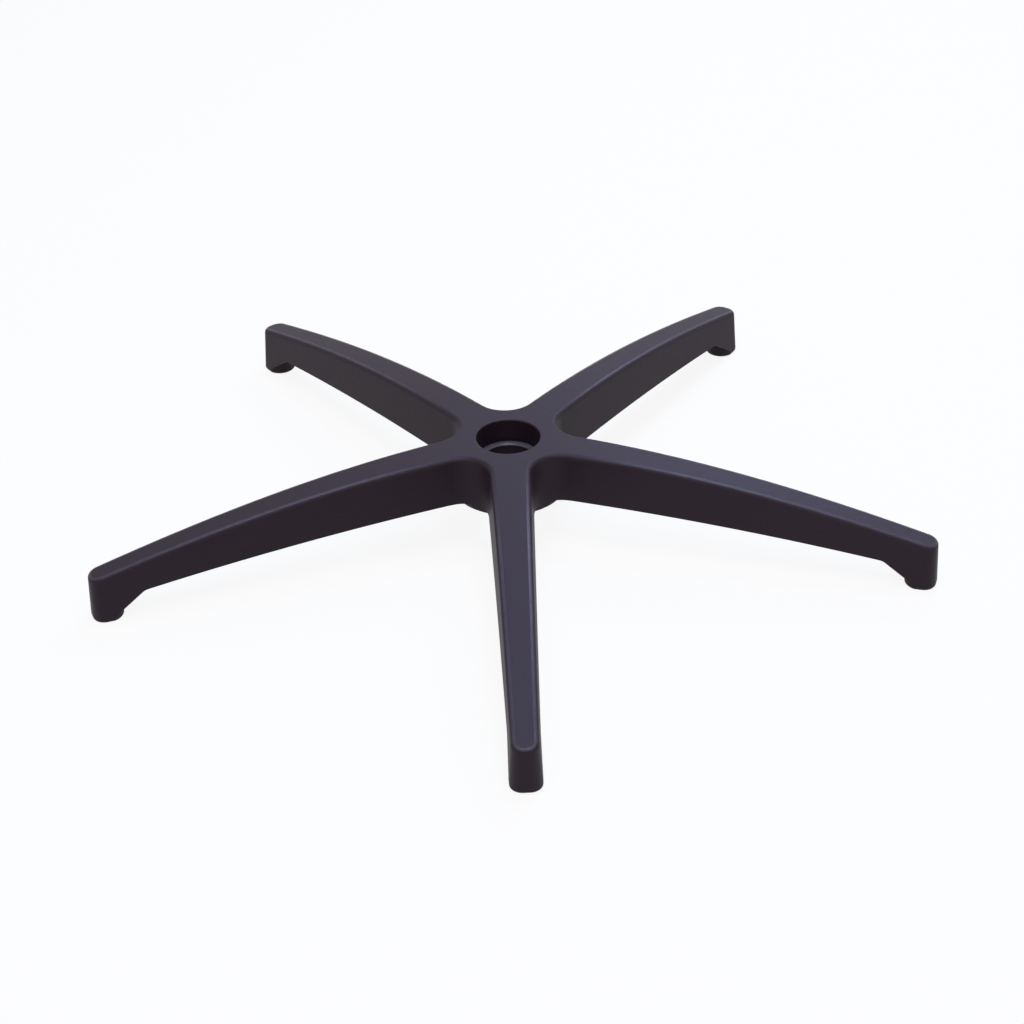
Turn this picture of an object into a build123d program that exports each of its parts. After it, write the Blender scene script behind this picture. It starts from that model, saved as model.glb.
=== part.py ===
from build123d import *
import os
from math import radians, tan

# Office chair base: a five-star swivel-chair foot, moulded in one piece.
# Frame: +Z up, origin on the axis of the gas column, at the height where the caster
# feet end. The first arm points to -Y. All sizes are in millimetres and degrees.

ARM_COUNT = 5
ARM_STEP = 360 / ARM_COUNT
FIRST_ARM = -90
DRAFT = 3.0

# The star seen from above: its half widths hold at the height of the hub's top
TIP_RADIUS = 347.2
CASTER_RADIUS = 335.0
ROOT_RADIUS = 60.0
ROOT_HALF_WIDTH = 15.6
TIP_HALF_WIDTH = 7.8
WEB_RADIUS = 23.2
TIP_CORNER = 9.6
END_DRAFT = 1.0

# The crown of an arm seen from the side
HUB_HEIGHT = 85.0
FLAT_RADIUS = 28.0
CROWN_DROP = 19.0
TIP_HEIGHT = 38.3
TOP_EDGE = 4.0

# The underside of an arm seen from the side
SKIRT_RADIUS = 45.6
SKIRT_HEIGHT = 39.8
SKIRT_SLOPE = 0.6
ROOT_UNDERSIDE = 43.7
MID_UNDERSIDE = 39.1
HAUNCH_RADIUS = 306.0
HAUNCH_HEIGHT = 23.0
HAUNCH_BLEND = 10.0
HEEL_RADIUS = 337.2
FOOT_RADIUS = 13.2
FOOT_EDGE = 2.4

# Socket of the gas column: a straight entry, a ledge with a bevel and a tapered seat
ENTRY_RADIUS = 25.6
ENTRY_DEPTH = 20.2
ENTRY_LIP = 1.2
LEDGE = 2.6
BEVEL = 1.4
SEAT_DRAFT = 1.43
TUBE_BOTTOM = 31.0
TUBE_WALL = 3.6
TUBE_DRAFT = 2.0

# Sockets of the casters
STEM_RADIUS = 5.5
STEM_DEPTH = 24.0

# Coring of the underside
WALL = 3.6
SKIN = 4.0
RING_WALL = 3.2
RIB = 2.4
RIB_RECESS = 5.0
ARM_RIBS = 5
FIRST_RIB = 92.0
RIB_PITCH = 46.0
POCKET_END = 316.0

# How far a helping shape runs past what it cuts, how close counts as equal, and how
# much of an edge's direction has to be vertical for it to count as upright
OVERRUN = 10.0
CLOSE = 0.01
STEEP = 0.9

# Worked out from the sizes above
SPREAD = HUB_HEIGHT * tan(radians(DRAFT))
SLIMMING = (ROOT_HALF_WIDTH - TIP_HALF_WIDTH) / (TIP_RADIUS - ROOT_RADIUS)
TIP_TOP_RADIUS = TIP_RADIUS - TIP_HEIGHT * tan(radians(END_DRAFT))
ENTRY_FLOOR = HUB_HEIGHT - ENTRY_DEPTH
LEDGE_RADIUS = ENTRY_RADIUS - LEDGE
SEAT_TOP = ENTRY_FLOOR - BEVEL
SEAT_RADIUS = LEDGE_RADIUS - BEVEL
SEAT_END_RADIUS = SEAT_RADIUS - (SEAT_TOP - TUBE_BOTTOM) * tan(radians(SEAT_DRAFT))
TUBE_TOP = HUB_HEIGHT - SKIN
TUBE_TOP_RADIUS = ENTRY_RADIUS + TUBE_WALL
TUBE_END_RADIUS = TUBE_TOP_RADIUS - (TUBE_TOP - TUBE_BOTTOM) * tan(radians(TUBE_DRAFT))
PAST_TIP = TIP_RADIUS + OVERRUN
ABOVE = HUB_HEIGHT + OVERRUN
BELOW = -OVERRUN


def arm_places(radius=0.0, turn=0.0):
    """One place on each arm, at a distance from the axis."""
    return PolarLocations(radius, ARM_COUNT, start_angle=FIRST_ARM + turn)


def half_width(radius, inset):
    """Half the arm's width at the ground, where the drafted walls are widest."""
    return ROOT_HALF_WIDTH + SPREAD - SLIMMING * (radius - ROOT_RADIUS) - inset


def underside(radius):
    """Height of the arm's lower edge between its root and the haunch."""
    along = (radius - ROOT_RADIUS) / (HAUNCH_RADIUS - ROOT_RADIUS)
    root = (1 - along) ** 2 * ROOT_UNDERSIDE
    middle = 2 * along * (1 - along) * MID_UNDERSIDE
    return root + middle + along**2 * HAUNCH_HEIGHT


def star_plan(inset=0.0):
    """The star's plan at the ground, drawn in by an inset, with rounded webs."""
    with BuildSketch(Plane.XY) as plan:
        with arm_places():
            Polygon(
                (0, -half_width(0, inset)),
                (PAST_TIP, -half_width(PAST_TIP, inset)),
                (PAST_TIP, half_width(PAST_TIP, inset)),
                (0, half_width(0, inset)),
                align=None,
            )
        web_corners = plan.vertices().sort_by_distance((0, 0))[:ARM_COUNT]
        fillet(web_corners, WEB_RADIUS - SPREAD + inset)
    return plan.sketch


def crowned_side(drop=0.0):
    """Side view of all that lies under the crown, with the crown lowered by a drop."""
    flat = HUB_HEIGHT - drop
    third = (TIP_TOP_RADIUS - FLAT_RADIUS) / 3
    with BuildSketch(Plane.XZ) as side:
        with BuildLine():
            Line((0, flat), (FLAT_RADIUS, flat))
            Bezier(
                (FLAT_RADIUS, flat),
                (FLAT_RADIUS + third, flat),
                (FLAT_RADIUS + 2 * third, flat - CROWN_DROP),
                (TIP_TOP_RADIUS, TIP_HEIGHT - drop),
            )
            Polyline(
                (TIP_TOP_RADIUS, TIP_HEIGHT - drop),
                (TIP_RADIUS, 0),
                (TIP_RADIUS, BELOW),
                (0, BELOW),
                (0, flat),
            )
        make_face()
    return side.sketch


def column_tube_side():
    """Half section of the tube round the gas column, solid to the axis."""
    with BuildSketch(Plane.XZ) as side:
        Polygon(
            (0, TUBE_BOTTOM),
            (TUBE_END_RADIUS, TUBE_BOTTOM),
            (TUBE_TOP_RADIUS, TUBE_TOP),
            (0, TUBE_TOP),
            align=None,
        )
    return side.sketch


def column_socket_side():
    """Half section of the socket: straight entry, bevelled ledge and tapered seat."""
    with BuildSketch(Plane.XZ) as side:
        Polygon(
            (0, TUBE_BOTTOM),
            (SEAT_END_RADIUS, TUBE_BOTTOM),
            (SEAT_RADIUS, SEAT_TOP),
            (LEDGE_RADIUS, ENTRY_FLOOR),
            (ENTRY_RADIUS, ENTRY_FLOOR),
            (ENTRY_RADIUS, HUB_HEIGHT),
            (0, HUB_HEIGHT),
            align=None,
        )
    return side.sketch


def is_tip_corner(edge):
    """An upright edge between an arm's side and its end."""
    return abs(edge.tangent_at(0.5).Z) > STEEP


def is_outside_hub_flat(edge):
    """An edge that stays clear of the flat round the column."""
    ends = [edge.position_at(0), edge.position_at(1)]
    return min(Vector(end.X, end.Y).length for end in ends) > FLAT_RADIUS + CLOSE


# The room cleared under the arms, which leaves a round foot standing under each tip
with BuildPart() as clearance:
    with BuildSketch(Plane.XZ) as clearance_side:
        with BuildLine():
            Polyline(
                (0, BELOW),
                (0, SKIRT_HEIGHT),
                (SKIRT_RADIUS, SKIRT_HEIGHT),
                (SKIRT_RADIUS + SKIRT_SLOPE, ROOT_UNDERSIDE),
                (ROOT_RADIUS, ROOT_UNDERSIDE),
            )
            Bezier(
                (ROOT_RADIUS, ROOT_UNDERSIDE),
                ((ROOT_RADIUS + HAUNCH_RADIUS) / 2, MID_UNDERSIDE),
                (HAUNCH_RADIUS, HAUNCH_HEIGHT),
            )
            Polyline(
                (HAUNCH_RADIUS, HAUNCH_HEIGHT),
                (HEEL_RADIUS, 0),
                (HEEL_RADIUS, BELOW),
                (0, BELOW),
            )
        make_face()
        haunch = clearance_side.vertices().sort_by_distance((HAUNCH_RADIUS, HAUNCH_HEIGHT))[0]
        fillet(haunch, HAUNCH_BLEND)
    revolve(axis=Axis.Z)
    with BuildSketch(Plane.XY):
        with arm_places(CASTER_RADIUS):
            Circle(FOOT_RADIUS)
    extrude(amount=HAUNCH_HEIGHT, taper=DRAFT, mode=Mode.SUBTRACT)

# The hollows of the underside: pockets along the arms and around the column tube
with BuildPart() as coring:
    extrude(star_plan(WALL), amount=ABOVE, taper=DRAFT)
    revolve(crowned_side(SKIN), axis=Axis.Z, mode=Mode.INTERSECT)
    Cylinder(POCKET_END, 2 * ABOVE, mode=Mode.INTERSECT)
    with BuildSketch(Plane.XY):
        Circle(SKIRT_RADIUS)
        Circle(SKIRT_RADIUS - RING_WALL, mode=Mode.SUBTRACT)
    extrude(amount=ABOVE, mode=Mode.SUBTRACT)
    with BuildSketch(Plane.XY):
        Circle(TUBE_TOP_RADIUS)
    extrude(amount=ABOVE, mode=Mode.SUBTRACT)
    with BuildSketch(Plane.XY.offset(SKIRT_HEIGHT + RIB_RECESS)):
        with arm_places(SKIRT_RADIUS / 2):
            Rectangle(SKIRT_RADIUS, RIB)
        with arm_places(SKIRT_RADIUS / 2, ARM_STEP / 2):
            Rectangle(SKIRT_RADIUS, RIB)
    extrude(amount=ABOVE, mode=Mode.SUBTRACT)
    for rib in range(ARM_RIBS):
        rib_radius = FIRST_RIB + rib * RIB_PITCH
        with BuildSketch(Plane.XY.offset(underside(rib_radius) + RIB_RECESS)):
            Circle(rib_radius + RIB / 2)
            Circle(rib_radius - RIB / 2, mode=Mode.SUBTRACT)
        extrude(amount=ABOVE, mode=Mode.SUBTRACT)

with BuildPart() as star_base:
    extrude(star_plan(), amount=ABOVE, taper=DRAFT)
    revolve(crowned_side(), axis=Axis.Z, mode=Mode.INTERSECT)
    tip_corners = star_base.edges().filter_by(is_tip_corner)
    fillet(tip_corners, TIP_CORNER)
    add(clearance.part, mode=Mode.SUBTRACT)

    # Rounded edge where the crown meets the walls, all round the star
    crown = star_base.faces().sort_by(SortBy.AREA)[-1]
    fillet(crown.edges().filter_by(is_outside_hub_flat), TOP_EDGE)

    # Rounded bottom edge of the caster feet
    feet = star_base.faces().filter_by(Axis.Z).group_by(Axis.Z)[0]
    fillet(feet.edges(), FOOT_EDGE)

    # Hollow underside, with the tube of the gas column standing in its middle
    add(coring.part, mode=Mode.SUBTRACT)
    revolve(column_tube_side(), axis=Axis.Z)
    revolve(column_socket_side(), axis=Axis.Z, mode=Mode.SUBTRACT)
    mouth = star_base.edges().filter_by(GeomType.CIRCLE).group_by(Axis.Z)[-1].sort_by(SortBy.RADIUS)[0]
    fillet(mouth, ENTRY_LIP)

    # Blind caster sockets
    with BuildSketch(Plane.XY):
        with arm_places(CASTER_RADIUS):
            Circle(STEM_RADIUS)
    extrude(amount=STEM_DEPTH, mode=Mode.SUBTRACT)

os.makedirs("parts", exist_ok=True)
star_base.part.label = "star_base"
export_step(star_base.part, "parts/star_base.step")
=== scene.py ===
# %% [markdown]
# # An office chair base in satin black nylon
#
# The object is the star that stands under a swivel chair: five arching arms, a flat hub with the
# socket of the gas column, and a round foot under each tip. It is moulded in one shot, so it is one
# piece. Its shape could be modelled again here, but it is already exact in the packed model. So this
# lesson loads that mesh and gives it its surface, a plain studio and a camera. Every length is in
# metres, in the frame of the packed model.

# %% Load the packed model
import math

import bmesh
import bpy
from mathutils import Matrix, Vector

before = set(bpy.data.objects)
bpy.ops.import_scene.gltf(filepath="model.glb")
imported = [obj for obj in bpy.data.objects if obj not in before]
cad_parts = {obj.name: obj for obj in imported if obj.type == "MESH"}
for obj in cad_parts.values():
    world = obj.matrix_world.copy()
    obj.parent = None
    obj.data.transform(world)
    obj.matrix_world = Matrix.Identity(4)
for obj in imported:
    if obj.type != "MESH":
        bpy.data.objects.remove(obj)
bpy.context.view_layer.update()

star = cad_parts["star_base"]

# %% [markdown]
# ## Where the camera stands
#
# The picture was taken with a long lens from a little above, with one arm pointing at the camera.
# A camera can be moved by hand until the outlines agree. Here its place comes from a fit to the
# outlines of all five arms: a distance from the middle of the hub, an angle above the floor, and a
# small turn to the side. Sines and cosines make a point in space of them.

# %% Where the camera stands
HUB_CENTRE = Vector((0, 0, 0.05))
CAMERA_DISTANCE = 2.2547
ELEVATION = math.radians(32.396)
TURN = math.radians(-0.914)

towards_camera = Vector((
    math.sin(TURN) * math.cos(ELEVATION),
    -math.cos(TURN) * math.cos(ELEVATION),
    math.sin(ELEVATION),
))
camera_place = HUB_CENTRE + towards_camera * CAMERA_DISTANCE
print("the camera stands at", [round(c, 3) for c in camera_place])

# %% [markdown]
# ## Aim, roll and lens
#
# The same fit gives the point that the camera looks at and a slight roll. A Track To constraint
# could aim the camera, but it would keep it level. So its three axes are worked out: forward to the
# aim, and then right and up, which the roll turns together.

# %% Aim, roll and lens
LOOK_AT = Vector((0.0016, 0.0196, 0))
ROLL = math.radians(-1.717)
LENS = 98.56

forward = (LOOK_AT - camera_place).normalized()
level = forward.cross(Vector((0, 0, 1))).normalized()
upright = level.cross(forward)
right = level * math.cos(ROLL) + upright * math.sin(ROLL)
up = right.cross(forward)
axes = Matrix((right, up, -forward)).transposed()

camera = bpy.data.objects.new("camera", bpy.data.cameras.new("camera"))
bpy.context.collection.objects.link(camera)
camera.matrix_world = Matrix.Translation(camera_place) @ axes.to_4x4()
camera.data.lens = LENS
bpy.context.scene.camera = camera
bpy.context.scene.view_settings.view_transform = "Standard"
print("the camera looks through a lens of", round(camera.data.lens, 2), "mm")

# %% [markdown]
# ## Shader maths as expressions
#
# A finish that varies over its surface is a sum of many small steps. In the node editor each step is
# a box with wires, and a long chain is hard to read. Written as Python expressions, the same steps
# read like a formula. This class wraps one socket, and its operators add the Math nodes.

# %% Fields
class Field:
    """A number, colour or vector that varies over a surface: one output socket of a node."""

    def __init__(self, finish, socket):
        self.finish = finish
        self.socket = socket

    def output(self, name):
        """Another output of the same node."""
        return Field(self.finish, self.socket.node.outputs[name])

    def maths(self, operation, *values):
        """A Math node on the given values, each a field or a number."""
        return self.finish.node("ShaderNodeMath", {"operation": operation}, dict(enumerate(values)))

    def __add__(self, value):
        return self.maths("ADD", self, value)

    def __radd__(self, value):
        return self.maths("ADD", value, self)

    def __sub__(self, value):
        return self.maths("SUBTRACT", self, value)

    def __rsub__(self, value):
        return self.maths("SUBTRACT", value, self)

    def __mul__(self, value):
        return self.maths("MULTIPLY", self, value)

    def __rmul__(self, value):
        return self.maths("MULTIPLY", value, self)

    def __truediv__(self, value):
        return self.maths("DIVIDE", self, value)

    def __rtruediv__(self, value):
        return self.maths("DIVIDE", value, self)

    def root(self):
        return self.maths("SQRT", self)

    def sine(self):
        return self.maths("SINE", self)

    def angle_from(self, across):
        """The angle of the point whose two coordinates are across and this one."""
        return self.maths("ARCTAN2", self, across)

    def wrap(self, half):
        """The same value brought between -half and half by whole turns of twice the half."""
        return self.maths("WRAP", self, half, -half)

    def most(self, value):
        return self.maths("MAXIMUM", self, value)

    def step(self, low, high):
        """A smooth step from 0 at low to 1 at high, where low may be the larger of the two."""
        settings = {"interpolation_type": "SMOOTHSTEP"}
        sockets = {"Value": self, "From Min": low, "From Max": high}
        return self.finish.node("ShaderNodeMapRange", settings, sockets)


print("beside its operators a field has", [name for name in vars(Field) if name[0] != "_"])

# %% [markdown]
# ## One method for every other node
#
# Any other node is known by three things: its kind, its settings, and the values or links of its
# sockets. This class holds a material or the world, and one method takes the three in that order.
# The few nodes that come up again get short methods of their own on top of it.

# %% Finishes
class Finish:
    """A node material, or the world's nodes, written as expressions."""

    def __init__(self, owner):
        owner.use_nodes = True
        self.owner = owner
        self.tree = owner.node_tree
        self.tree.nodes.clear()

    def node(self, kind, settings=None, sockets=None, output=0):
        """Adds a node and returns one of its outputs as a field."""
        made = self.tree.nodes.new(kind)
        for name, value in (settings or {}).items():
            setattr(made, name, value)
        for name, value in (sockets or {}).items():
            if isinstance(value, Field):
                self.tree.links.new(value.socket, made.inputs[name])
            else:
                made.inputs[name].default_value = value
        return Field(self, made.outputs[output]) if made.outputs else None

    def tint(self, share, first, second):
        """A mix of two colours by a share from 0 to 1."""
        settings = {"data_type": "RGBA", "clamp_factor": True}
        return self.node("ShaderNodeMix", settings, {0: share, 6: first, 7: second}, output=2)

    def vector(self, x, y, z):
        return self.node("ShaderNodeCombineXYZ", {}, {"X": x, "Y": y, "Z": z})

    def noise(self, vector, scale, detail=2.0, rough=0.5):
        """Soft noise between about 0 and 1, of a given number of lumps to the metre."""
        sockets = {"Vector": vector, "Scale": scale, "Detail": detail, "Roughness": rough}
        return self.node("ShaderNodeTexNoise", {"noise_dimensions": "3D"}, sockets)

    def background_ray(self):
        """1 for the rays that should see a clean white studio: camera, gloss and glass."""
        camera_ray = self.node("ShaderNodeLightPath")
        gloss_ray = camera_ray.output("Is Glossy Ray")
        glass_ray = camera_ray.output("Is Transmission Ray")
        return camera_ray.most(gloss_ray).most(glass_ray)


print("a finish has", [name for name in vars(Finish) if name[0] != "_"])

# %% [markdown]
# ## A white floor that keeps the shadow
#
# The photograph's ground is pure white. More light would wash the object out, so the whiteness
# comes from what the camera and the reflections see: a large part of the floor's shader is plain
# white light for those rays, and the rest is an ordinary pale floor that still takes the shadow.

# %% Floor
FLOOR_SIZE = 30.0
FLOOR_COLOUR = (0.86, 0.84, 0.76, 1)
FLOOR_WHITE = 0.90
WHITE = (1, 1, 1, 1)


def add_floor():
    """A flat sheet at the height where the feet stand."""
    mesh = bpy.data.meshes.new("floor")
    shape = bmesh.new()
    bmesh.ops.create_grid(shape, x_segments=1, y_segments=1, size=FLOOR_SIZE / 2)
    shape.to_mesh(mesh)
    shape.free()
    sheet = bpy.data.objects.new("floor", mesh)
    bpy.context.collection.objects.link(sheet)
    return sheet


def floor_paint():
    """A pale matt paint that the camera and the reflections see as nearly white."""
    paint = Finish(bpy.data.materials.new("pale_floor"))
    pale = paint.node("ShaderNodeBsdfDiffuse", {}, {"Color": FLOOR_COLOUR})
    white = paint.node("ShaderNodeEmission", {}, {"Color": WHITE, "Strength": 1.0})
    share = paint.background_ray() * FLOOR_WHITE
    seen = paint.node("ShaderNodeMixShader", {}, {0: share, 1: pale, 2: white})
    paint.node("ShaderNodeOutputMaterial", {}, {"Surface": seen})
    return paint.owner


floor = add_floor()
floor.data.materials.append(floor_paint())
print("the floor is", FLOOR_SIZE, "m wide and wears", floor.data.materials[0].name)

# %% [markdown]
# ## The world behind it
#
# Past the floor the rays meet the world. A large white room could stand there, but a colour does the
# same: white for the camera and the reflections, as on the floor, and for all other rays a dimmer,
# softer light like that of a room's walls.

# %% World
SKY_COLOUR = (1.0, 0.97, 0.95, 1)
SKY_STRENGTH = 0.25


def studio_air():
    """The studio's white background, and its faint light from all sides."""
    air = Finish(bpy.data.worlds.new("studio"))
    sky = air.node("ShaderNodeBackground", {}, {"Color": SKY_COLOUR, "Strength": SKY_STRENGTH})
    white = air.node("ShaderNodeBackground", {}, {"Color": WHITE, "Strength": 1.0})
    seen = air.node("ShaderNodeMixShader", {}, {0: air.background_ray(), 1: sky, 2: white})
    air.node("ShaderNodeOutputWorld", {}, {"Surface": seen})
    return air.owner


bpy.context.scene.world = studio_air()
print("the scene's world is", bpy.context.scene.world.name)

# %% [markdown]
# ## Soft lamps
#
# Black satin plastic shows its shape by what it mirrors. A wide cool window stands behind the star
# on its right, and gives the tops of the arms their blue sheen, more on the right than on the left.
# A roof light nearer to the top lifts the sloping tip of the front arm. A narrow strip straight
# overhead draws the thin bright line along the rounded upper edges that face us, and a large soft
# lamp in front fills the walls. Sun or point lamps would leave hard, small glints instead. Together
# they light the star at a plain level, a little on the cool side.

# %% Lamps
def softbox(name, place, width, height, power, colour):
    """A rectangular lamp that faces the hub."""
    lamp = bpy.data.lights.new(name, "AREA")
    lamp.shape = "RECTANGLE"
    lamp.size = width
    lamp.size_y = height
    lamp.energy = power
    lamp.color = colour
    holder = bpy.data.objects.new(name, lamp)
    bpy.context.collection.objects.link(holder)
    holder.location = place
    holder.rotation_mode = "QUATERNION"
    holder.rotation_quaternion = (HUB_CENTRE - Vector(place)).to_track_quat("-Z", "Y")
    return holder


lamps = [
    softbox("window", (0.86, 1.76, 1.71), width=1.2, height=0.5, power=25, colour=(0.50, 0.61, 1.0)),
    softbox("roof_light", (0.36, 0.62, 2.5), width=0.8, height=0.5, power=25, colour=(0.43, 0.59, 1.0)),
    softbox("strip", (0.0, -0.27, 2.59), width=1.2, height=0.4, power=17, colour=(0.64, 0.68, 1.0)),
    softbox("front", (0.0, -1.14, 2.34), width=1.6, height=1.0, power=25, colour=(0.90, 0.88, 1.0)),
]
print("lamps:", [lamp.name for lamp in lamps])

# %% [markdown]
# ## Satin black nylon, and coordinates that follow its arms
#
# The real surface is glass-filled nylon from a spark-eroded mould: black with a trace of violet
# brown, a fine even grain that blurs every reflection, and faint streaks along the arms where the
# melt ran. A painted picture could carry the streaks, but the star would have to be unwrapped for
# it. Object coordinates need no unwrapping. The angle about the hub is brought into the fifth of a
# turn around the first arm, and its sine times the reach is the distance from the arm's middle. A
# noise that changes slowly along the reach and fast across it gives the streaks.

# %% Coordinates that follow the arms
ARM_COUNT = 5
FIRST_ARM_ANGLE = -math.pi / 2
STREAKS_ALONG, STREAKS_ACROSS = 14, 420

nylon = Finish(bpy.data.materials.new("satin_black_nylon"))
place = nylon.node("ShaderNodeTexCoord", {}, {}, output="Object")
x = nylon.node("ShaderNodeSeparateXYZ", {}, {"Vector": place})
y = x.output("Y")
z = x.output("Z")
reach = (x * x + y * y).root()
off_arm = (y.angle_from(x) - FIRST_ARM_ANGLE).wrap(math.pi / ARM_COUNT).sine() * reach
flow = nylon.vector(reach * STREAKS_ALONG, off_arm * STREAKS_ACROSS, z * STREAKS_ACROSS)
print("the arms' coordinates take", len(nylon.tree.nodes), "nodes")

# %% [markdown]
# ## Finding the rounded edges and the walls
#
# The finish has to know where the edges are: they are polished, and a highlight line is painted along
# them. They could be painted as a mask, or marked on the mesh. The normal finds them without either.
# The crown falls off along the reach only, so its slope is a short formula of the reach. What is left
# of the normal's lean without that slope is zero all over the tops, grows round each edge, and is
# largest on the walls.

# %% Rounded edges and walls
CROWN_START, CROWN_LENGTH = 0.028, 0.319
CROWN_SLOPE, CROWN_EASING = 0.358, 0.097
EDGE_BEGINS = (0.06, 0.16)
EDGE_ENDS = (0.64, 0.50)
FACES_UP = (0.1, 0.3)
WALL_BEGINS = (0.80, 0.96)

along = ((reach - CROWN_START) / CROWN_LENGTH).most(0)
crown_slope = along * CROWN_SLOPE - along * along * CROWN_EASING
facing_x = nylon.node("ShaderNodeSeparateXYZ", {}, {"Vector": place.output("Normal")})
facing_y = facing_x.output("Y")
facing_z = facing_x.output("Z")
sideways = (facing_y * x - facing_x * y) / reach
outwards = (facing_x * x + facing_y * y) / reach - crown_slope
lean = (sideways * sideways + outwards * outwards).root()
rounded = lean.step(*EDGE_BEGINS) * lean.step(*EDGE_ENDS) * facing_z.step(*FACES_UP)
walls = lean.step(*WALL_BEGINS)
print("with the edges and walls there are", len(nylon.tree.nodes), "nodes")

# %% [markdown]
# ## Finding the socket and its bevel
#
# The gas column slides past the bore's upper part, which is smoother than the tops. The bevelled
# edge of the ledge below it catches the light as a bright ring, and a lighter grey is painted on it
# as that ring's highlight. Both are round and level, so a radius and two heights are enough to find
# them, and no second material is needed.

# %% Socket and bevel
BORE_RADIUS = 0.0256
LIP = 0.0012
BEVEL_LOW, BEVEL_HIGH = 0.0634, 0.0648
BEVEL_BLUR = 0.0004

in_bore = reach.step(BORE_RADIUS + LIP, BORE_RADIUS)
above_bevel_low = z.step(BEVEL_LOW - BEVEL_BLUR, BEVEL_LOW)
below_bevel_high = z.step(BEVEL_HIGH + BEVEL_BLUR, BEVEL_HIGH)
on_bevel = in_bore * above_bevel_low * below_bevel_high
print("the bevel is", round(BEVEL_HIGH - BEVEL_LOW, 4), "m high")

# %% [markdown]
# ## Clouds, streaks, mottle and grain
#
# No moulding is quite even. Its gloss drifts in clouds as wide as a palm, the melt leaves streaks,
# handling leaves a mottle of small spots, and the mould's spark-eroded grain covers it all. One
# strong noise would look like stone, so each of them is a faint noise of its own size.

# %% Clouds, streaks, mottle and grain
CLOUDS_PER_METRE = 14
MOTTLE_PER_METRE = 160
GRAIN_PER_METRE = 1500
FINE_GRAIN_PER_METRE = 4200
NOISE_MIDDLE = 0.5

clouds = nylon.noise(place, CLOUDS_PER_METRE, detail=3.0)
streaks = nylon.noise(flow, scale=1)
mottle = nylon.noise(place, MOTTLE_PER_METRE, detail=3.0, rough=0.6)
grain = nylon.noise(place, GRAIN_PER_METRE, rough=0.6)
fine_grain = nylon.noise(place, FINE_GRAIN_PER_METRE, detail=1.0)
print("the grain is about", round(1 / GRAIN_PER_METRE, 5), "m from lump to lump")

# %% [markdown]
# ## Polish and a painted highlight on the edges
#
# Hands and boxes polish the rounded edges first, the more the further out they stand, and leave the
# corners round the hub alone. The same mask also paints a lighter grey along them: a painted highlight
# for the thin bright line that these edges mirror. A mask that is equally strong everywhere looks
# drawn on, so the mottle breaks it up.

# %% Polish and painted edge highlight
OUTER_FROM, OUTER_FULLY = 0.05, 0.15
SPOTS = (0.2, 0.6)
SPOTTED = 0.4

outer_part = reach.step(OUTER_FROM, OUTER_FULLY)
spotted = mottle.step(*SPOTS) * SPOTTED + (1 - SPOTTED)
# The mask of the polish, and of the lighter grey painted along the edges as their highlight line.
polish_and_highlight = rounded * outer_part * spotted
print("edges are polished from", OUTER_FROM, "m and fully from", OUTER_FULLY, "m off the axis")

# %% [markdown]
# ## Its colour
#
# One flat black would do for new plastic under flat light. The real black is made of two that lie
# close together. Along the rounded edges a greyer, cooler tint is painted as their highlight line, and
# on the bevel in the socket a lighter grey is painted as its bright ring. Each tint lies over the one
# before it.

# %% Colour
DEEP_BLACK = (0.0160, 0.0084, 0.0142, 1)
SOFT_BLACK = (0.0200, 0.0106, 0.0174, 1)
# Painted highlight: the grey along the rounded edges.
EDGE_HIGHLIGHT_GREY = (0.062, 0.054, 0.072, 1)
# Painted highlight: the lighter grey of the bright ring on the socket's bevel.
BEVEL_HIGHLIGHT_GREY = (0.120, 0.116, 0.140, 1)
CLOUDS_IN_SHADE, STREAKS_IN_SHADE = 0.6, 0.4
SHADE_CONTRAST = (0.3, 0.7)
EDGE_HIGHLIGHT_SHARE = 0.7
BEVEL_HIGHLIGHT_SHARE = 0.6

shade = (clouds * CLOUDS_IN_SHADE + streaks * STREAKS_IN_SHADE).step(*SHADE_CONTRAST)
black = nylon.tint(shade, DEEP_BLACK, SOFT_BLACK)
# A greyer tint painted along the rounded edges: a painted highlight line.
with_edge_highlight = nylon.tint(polish_and_highlight * EDGE_HIGHLIGHT_SHARE, black, EDGE_HIGHLIGHT_GREY)
# A lighter grey painted on the bevel: the painted highlight of its bright ring.
colour = nylon.tint(on_bevel * BEVEL_HIGHLIGHT_SHARE, with_edge_highlight, BEVEL_HIGHLIGHT_GREY)
print("the darkest black is", DEEP_BLACK[:3])

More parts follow.
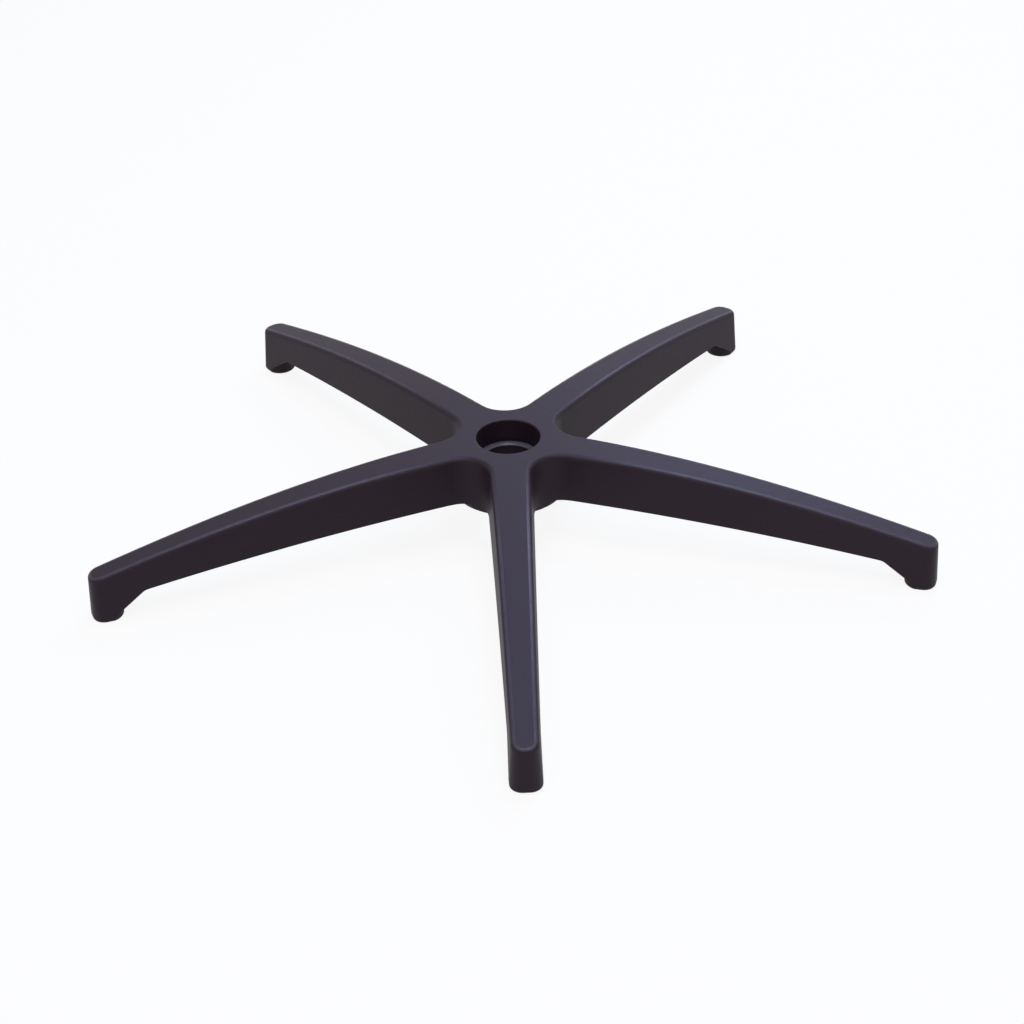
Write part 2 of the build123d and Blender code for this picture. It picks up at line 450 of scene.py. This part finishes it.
# %% [markdown]
# ## Its roughness
#
# The grain spreads every reflection, which a roughness a little over a half does as well and far
# faster than real bumps would. The walls were drawn out of the mould and are a trace rougher. The
# polished edges, the bore and above all the bevel are smoother, and the noises make it uneven.

# %% Roughness
GRAINED = 0.52
WALLS_ROUGHER = 0.03
POLISH_SMOOTHER = 0.18
BORE_SMOOTHER = 0.08
BEVEL_SMOOTHER = 0.16
UNEVEN_CLOUDS, UNEVEN_STREAKS, UNEVEN_MOTTLE = 0.08, 0.06, 0.08

unevenness = (
    (clouds - NOISE_MIDDLE) * UNEVEN_CLOUDS
    + (streaks - NOISE_MIDDLE) * UNEVEN_STREAKS
    + (mottle - NOISE_MIDDLE) * UNEVEN_MOTTLE
)
smoother = polish_and_highlight * POLISH_SMOOTHER + in_bore * BORE_SMOOTHER + on_bevel * BEVEL_SMOOTHER
roughness = unevenness + GRAINED + walls * WALLS_ROUGHER - smoother
print("the roughness is about", GRAINED, "on the tops")

# %% [markdown]
# ## The finish on the star
#
# The grain is far too fine to model, so a bump map tilts the normals instead, by lumps of a few
# hundredths of a millimetre. The Principled shader takes the colour, the roughness and the bump. Its
# specular level is low, because the grain traps a part of the light that smooth nylon would mirror.

# %% The finish on the star
GRAIN_SHARE, FINE_GRAIN_SHARE = 0.6, 0.4
GRAIN_STRENGTH = 0.5
GRAIN_HEIGHT = 0.00006
SPECULAR_LEVEL = 0.2

bump = nylon.node("ShaderNodeBump", {}, {
    "Strength": GRAIN_STRENGTH,
    "Distance": GRAIN_HEIGHT,
    "Height": grain * GRAIN_SHARE + fine_grain * FINE_GRAIN_SHARE,
})
surface = nylon.node("ShaderNodeBsdfPrincipled", {}, {
    "Base Color": colour,
    "Roughness": roughness,
    "Specular IOR Level": SPECULAR_LEVEL,
    "Normal": bump,
})
nylon.node("ShaderNodeOutputMaterial", {}, {"Surface": surface})
star.data.materials.clear()
star.data.materials.append(nylon.owner)
print("star_base wears", star.data.materials[0].name, "made of", len(nylon.tree.nodes), "nodes")

# %% [markdown]
# ## The star's size
#
# The star has to keep the size of the packed model, whatever is done to its looks.
